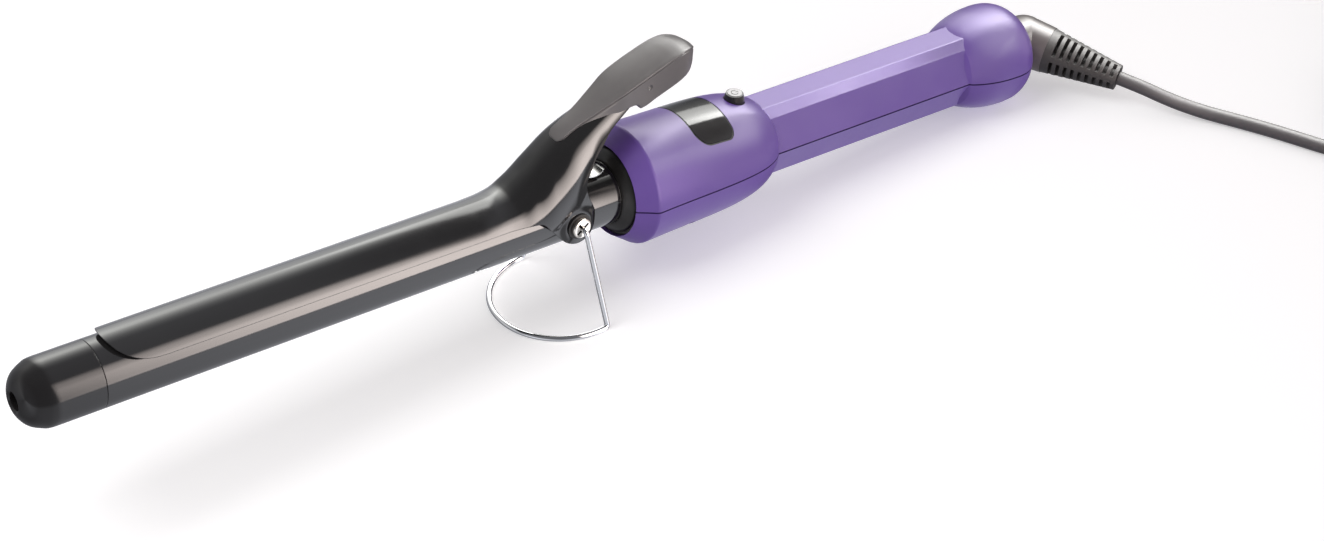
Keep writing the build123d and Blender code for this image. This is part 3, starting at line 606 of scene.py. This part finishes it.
# Studio: a long softbox in front, to the right, a second one behind and above, and a
# pale table below them. What a matt surface gets and what a shiny one mirrors are set apart.
world = D.worlds.new("studio")
scene.world = world
world.use_nodes = True
world.cycles.sampling_method = "NONE"
nt = world.node_tree
nt.nodes.clear()
out = nt.nodes.new("ShaderNodeOutputWorld")
geo = nt.nodes.new("ShaderNodeTexCoord")
toward = geo.outputs["Generated"]
sep = nt.nodes.new("ShaderNodeSeparateXYZ")
nt.links.new(toward, sep.inputs["Vector"])
neg = nt.nodes.new("ShaderNodeMath")
neg.operation = "MULTIPLY"
neg.inputs[1].default_value = -1.0
nt.links.new(sep.outputs["Y"], neg.inputs[0])
ang = nt.nodes.new("ShaderNodeMath")
ang.operation = "ARCTAN2"
nt.links.new(sep.outputs["Z"], ang.inputs[0])
nt.links.new(neg.outputs[0], ang.inputs[1])
round_fac = span(nt, ang.outputs[0], 0.0, 1.0, -math.pi, math.pi)     # angle round the iron
along_fac = span(nt, sep.outputs["X"], 0.0, 1.0, -1.0, 1.0)           # tip end to cord end


def at(deg):
    return (deg + 180.0) / 360.0


def grey(v):
    return (v, v, v)


def product(a, b):
    v = nt.nodes.new("ShaderNodeVectorMath")
    v.operation = "MULTIPLY"
    nt.links.new(a, v.inputs[0])
    nt.links.new(b, v.inputs[1])
    return v.outputs[0]


def glow(colour, strength):
    g = nt.nodes.new("ShaderNodeBackground")
    nt.links.new(colour, g.inputs["Color"])
    g.inputs["Strength"].default_value = strength
    return g.outputs[0]


def plus(a, b):
    g = nt.nodes.new("ShaderNodeAddShader")
    nt.links.new(a, g.inputs[0])
    nt.links.new(b, g.inputs[1])
    return g.outputs[0]


def along(stops):
    return ramp(nt, along_fac, [((x + 1) / 2, grey(v)) for x, v in stops])


WARM = np.array([1.0, 0.885, 0.83])
top = product(ramp(nt, round_fac, [(at(a), tuple(np.array((1.0, 1.0, 0.95)) * v)) for a, v in (
    (104, 0.0), (112, 0.07), (120, 0.2), (128, 0.44), (136, 0.7), (144, 1.0), (152, 0.8), (160, 0.45), (170, 0.2), (178, 0.1))]),
    along([(-0.3, 0.06), (0.1, 0.15), (0.25, 0.5), (0.36, 0.88), (0.395, 0.9), (0.43, 0.7), (0.465, 0.56), (0.5, 0.6), (0.53, 0.45),
           (0.57, 0.2)]))
table = product(ramp(nt, round_fac, [(at(a), tuple(np.array((0.96, 0.98, 1.05)) * v)) for a, v in (
    (-179, 0.55), (-160, 0.5), (-144, 0.36), (-128, 0.36), (-104, 0.46), (-80, 0.62), (-60, 0.85), (-44, 1.0), (-20, 1.05),
    (-8, 0.35), (40, 0.24), (60, 0.24), (100, 0.27), (130, 0.36), (165, 0.55))]),
    along([(-0.95, 0.5), (-0.6, 0.25), (0.2, 0.35), (0.36, 0.75), (0.43, 0.92), (0.5, 1.0), (0.54, 0.5), (0.58, 0.14)]))
right = product(ramp(nt, round_fac, [(at(a), tuple(WARM * v)) for a, v in ((-60, 0.0), (-30, 1.0), (60, 1.0), (90, 0.0))]),
                along([(0.68, 0.0), (0.8, 1.0)]))
mirrored = plus(glow(top, 6.0), plus(glow(table, 2.0), glow(right, 2.2)))


def lobe(direction, lo, dim, bright):
    d = nt.nodes.new("ShaderNodeVectorMath")
    d.operation = "DOT_PRODUCT"
    d.inputs[1].default_value = tuple(Vector(direction).normalized())
    nt.links.new(toward, d.inputs[0])
    return ramp(nt, span(nt, d.outputs["Value"], 0.0, 1.0, lo, 1.0), [(0.0, dim), (1.0, bright)])


soft = plus(glow(lobe((0.78, -0.62, -0.08), -1.0, (0.03, 0.03, 0.03), (1.1, 1.04, 1.06)), 1.0),
            glow(lobe((0.1, -0.3, -1.0), 0.0, (0.0, 0.0, 0.0), (0.7, 0.7, 1.2)), 0.2))
bg_cam = nt.nodes.new("ShaderNodeBackground")
bg_cam.inputs["Color"].default_value = (1.0, 1.0, 1.0, 1.0)
bg_cam.inputs["Strength"].default_value = 1.0
lp = nt.nodes.new("ShaderNodeLightPath")
mix1 = nt.nodes.new("ShaderNodeMixShader")
mix2 = nt.nodes.new("ShaderNodeMixShader")
nt.links.new(lp.outputs["Is Glossy Ray"], mix1.inputs["Fac"])
nt.links.new(soft, mix1.inputs[1])
nt.links.new(mirrored, mix1.inputs[2])
nt.links.new(lp.outputs["Is Camera Ray"], mix2.inputs["Fac"])
nt.links.new(mix1.outputs[0], mix2.inputs[1])
nt.links.new(bg_cam.outputs[0], mix2.inputs[2])
nt.links.new(mix2.outputs[0], out.inputs["Surface"])


def area(name, loc, target, size, power, colour=(1, 1, 1), size_y=None, glossy=False):
    li = D.lights.new(name, "AREA")
    li.energy = power
    li.color = colour
    li.shape = "RECTANGLE" if size_y else "SQUARE"
    li.size = size
    if size_y:
        li.size_y = size_y
    ob = D.objects.new(name, li)
    scene.collection.objects.link(ob)
    ob.location = loc
    ob.rotation_euler = (Vector(target) - Vector(loc)).to_track_quat("-Z", "Y").to_euler()
    ob.visible_glossy = glossy
    ob.visible_camera = False
    return ob


# overhead lamp, which throws the shade
area("overhead", (-0.6, 0.12, 0.95), (-0.6, 0.12, 0.0), 0.76, 8.0)

# softboxes standing close by, so where they end shows along the iron: seen only in reflections


def softbox(name, corner, u_edge, v_edge, u_stops, v_stops, colour, strength):
    # a flat card; its glow falls off along its two edges, given in metres from the corner
    o, u, v = Vector(corner), Vector(u_edge), Vector(v_edge)
    ob = make_mesh(name, [o, o + u, o + u + v, o + v], [(0, 1, 2, 3)], smooth=False)
    cm = D.materials.new(name)
    cm.use_nodes = True
    t = cm.node_tree
    t.nodes.clear()
    out = t.nodes.new("ShaderNodeOutputMaterial")
    co = t.nodes.new("ShaderNodeTexCoord")
    falls = []
    for edge, stops in ((u, u_stops), (v, v_stops)):
        d = t.nodes.new("ShaderNodeVectorMath")
        d.operation = "DOT_PRODUCT"
        d.inputs[1].default_value = tuple(edge.normalized())
        t.links.new(co.outputs["Object"], d.inputs[0])
        start = o.dot(edge.normalized())
        falls.append(ramp(t, span(t, d.outputs["Value"], 0.0, 1.0, start, start + edge.length),
                          [(x / edge.length, (g, g, g)) for x, g in stops]))
    m1 = t.nodes.new("ShaderNodeVectorMath")
    m1.operation = "MULTIPLY"
    t.links.new(falls[0], m1.inputs[0])
    t.links.new(falls[1], m1.inputs[1])
    m2 = t.nodes.new("ShaderNodeVectorMath")
    m2.operation = "MULTIPLY"
    m2.inputs[1].default_value = tuple(colour)
    t.links.new(m1.outputs[0], m2.inputs[0])
    em = t.nodes.new("ShaderNodeEmission")
    em.inputs["Strength"].default_value = strength
    t.links.new(m2.outputs[0], em.inputs["Color"])
    return ob, cm, t, em, out


def finish_card(ob, cm, t, em, out, see_through=True):
    if see_through:
        clear = t.nodes.new("ShaderNodeBsdfTransparent")
        add = t.nodes.new("ShaderNodeAddShader")
        t.links.new(em.outputs[0], add.inputs[0])
        t.links.new(clear.outputs[0], add.inputs[1])
        t.links.new(add.outputs[0], out.inputs["Surface"])
    else:
        t.links.new(em.outputs[0], out.inputs["Surface"])
    ob.data.materials.append(cm)
    ob.visible_camera = ob.visible_diffuse = ob.visible_shadow = ob.visible_transmission = False


finish_card(*softbox(
    "front_softbox", (-0.3, -0.4, -0.16), (0.8, 0, 0), (0, 0, 0.72),
    [(x + 0.3, g) for x, g in ((-0.085, 0.0), (-0.05, 0.28), (-0.036, 0.35), (0.023, 0.64), (0.078, 0.86), (0.133, 1.0), (0.21, 1.0),
                               (0.26, 0.3), (0.31, 0.06), (0.45, 0.02))],
    [(z + 0.16, g) for z, g in ((-0.055, 0.0), (-0.035, 0.97), (0.11, 1.0), (0.23, 0.9), (0.29, 0.62), (0.38, 0.42), (0.47, 0.16),
                                (0.54, 0.0))],
    WARM, 11.5))
finish_card(*softbox(
    "upper_softbox", (0.15, -0.15, 0.35), (0.7, 0, 0), (0, 0.7, 0),
    [(x - 0.15, g) for x, g in ((0.165, 0.0), (0.2, 0.4), (0.24, 0.53), (0.3, 0.55), (0.35, 0.92), (0.4, 1.0), (0.55, 1.0), (0.8, 0.7))],
    [(y + 0.15, g) for y, g in ((-0.14, 0.0), (-0.117, 0.03), (-0.072, 0.07), (-0.025, 0.34), (0.012, 0.7), (0.051, 1.0), (0.144, 1.0),
                                (0.184, 0.7), (0.23, 0.44), (0.33, 0.26), (0.5, 0.14))],
    (1.0, 1.0, 0.97), 24.0))
finish_card(*softbox(
    "edge_softbox", (0.245, -0.24, 0.165), (0.16, 0, 0), (0, 0.16, 0.11),
    [(0.0, 0.0), (0.02, 1.0), (0.14, 1.0), (0.16, 0.0)], [(0.0, 0.0), (0.03, 1.0), (0.16, 1.0), (0.194, 0.0)],
    (1.0, 0.99, 0.97), 27.0))
# dim screens between the handle's far end and these softboxes
finish_card(*softbox(
    "screen_low", (0.048, -0.062, 0.0), (0.143, 0, 0), (0, 0, 0.1),
    [(0.0, 1.0), (0.085, 1.0), (0.11, 0.25), (0.143, 0.25)], [(0.0, 1.0), (0.1, 1.0)], WARM, 1.0), see_through=False)


def small_screen(name, centre, toward, half, strength):
    w = Vector(toward).normalized()
    u = Vector((-w.y, w.x, 0.0)).normalized()
    v = w.cross(u)
    corner = Vector(centre) - half * u - half * v
    finish_card(*softbox(name, corner, 2 * half * u, 2 * half * v, [(0.0, 1.0), (2 * half, 1.0)], [(0.0, 1.0), (2 * half, 1.0)], WARM, strength),
                see_through=False)


small_screen("screen_end", (0.186, -0.024, 0.057), (0.468, -0.624, 0.624), 0.019, 0.4)
small_screen("screen_bulb", (0.0535, -0.0247, 0.0548), (0.748, -0.374, 0.547), 0.022, 0.5)

cam = D.cameras.new("camera")
cam.sensor_fit = "HORIZONTAL"
cam.sensor_width = 36.0
cam.lens = 3000.0 / 1324.0 * 36.0
cam.clip_start, cam.clip_end = 0.01, 50.0
co = D.objects.new("camera", cam)
scene.collection.objects.link(co)


def turn(v):
    x, y, z = v
    return Vector((x * CA + z * SA, y, -x * SA + z * CA))


right = turn((0.7919942, -0.60671443, 0.06813805))
down = turn((-0.3014765, -0.4856895, -0.8204984))
ahead = turn((0.53090215, 0.62928795, -0.56757342))
place = W((-302.89869187, -646.73595852, 540.88390189))
co.matrix_world = Matrix(((right.x, -down.x, -ahead.x, place[0]), (right.y, -down.y, -ahead.y, place[1]),
                          (right.z, -down.z, -ahead.z, place[2]), (0, 0, 0, 1)))
scene.camera = co
scene.view_settings.view_transform = "Standard"
scene.view_settings.look = "None"
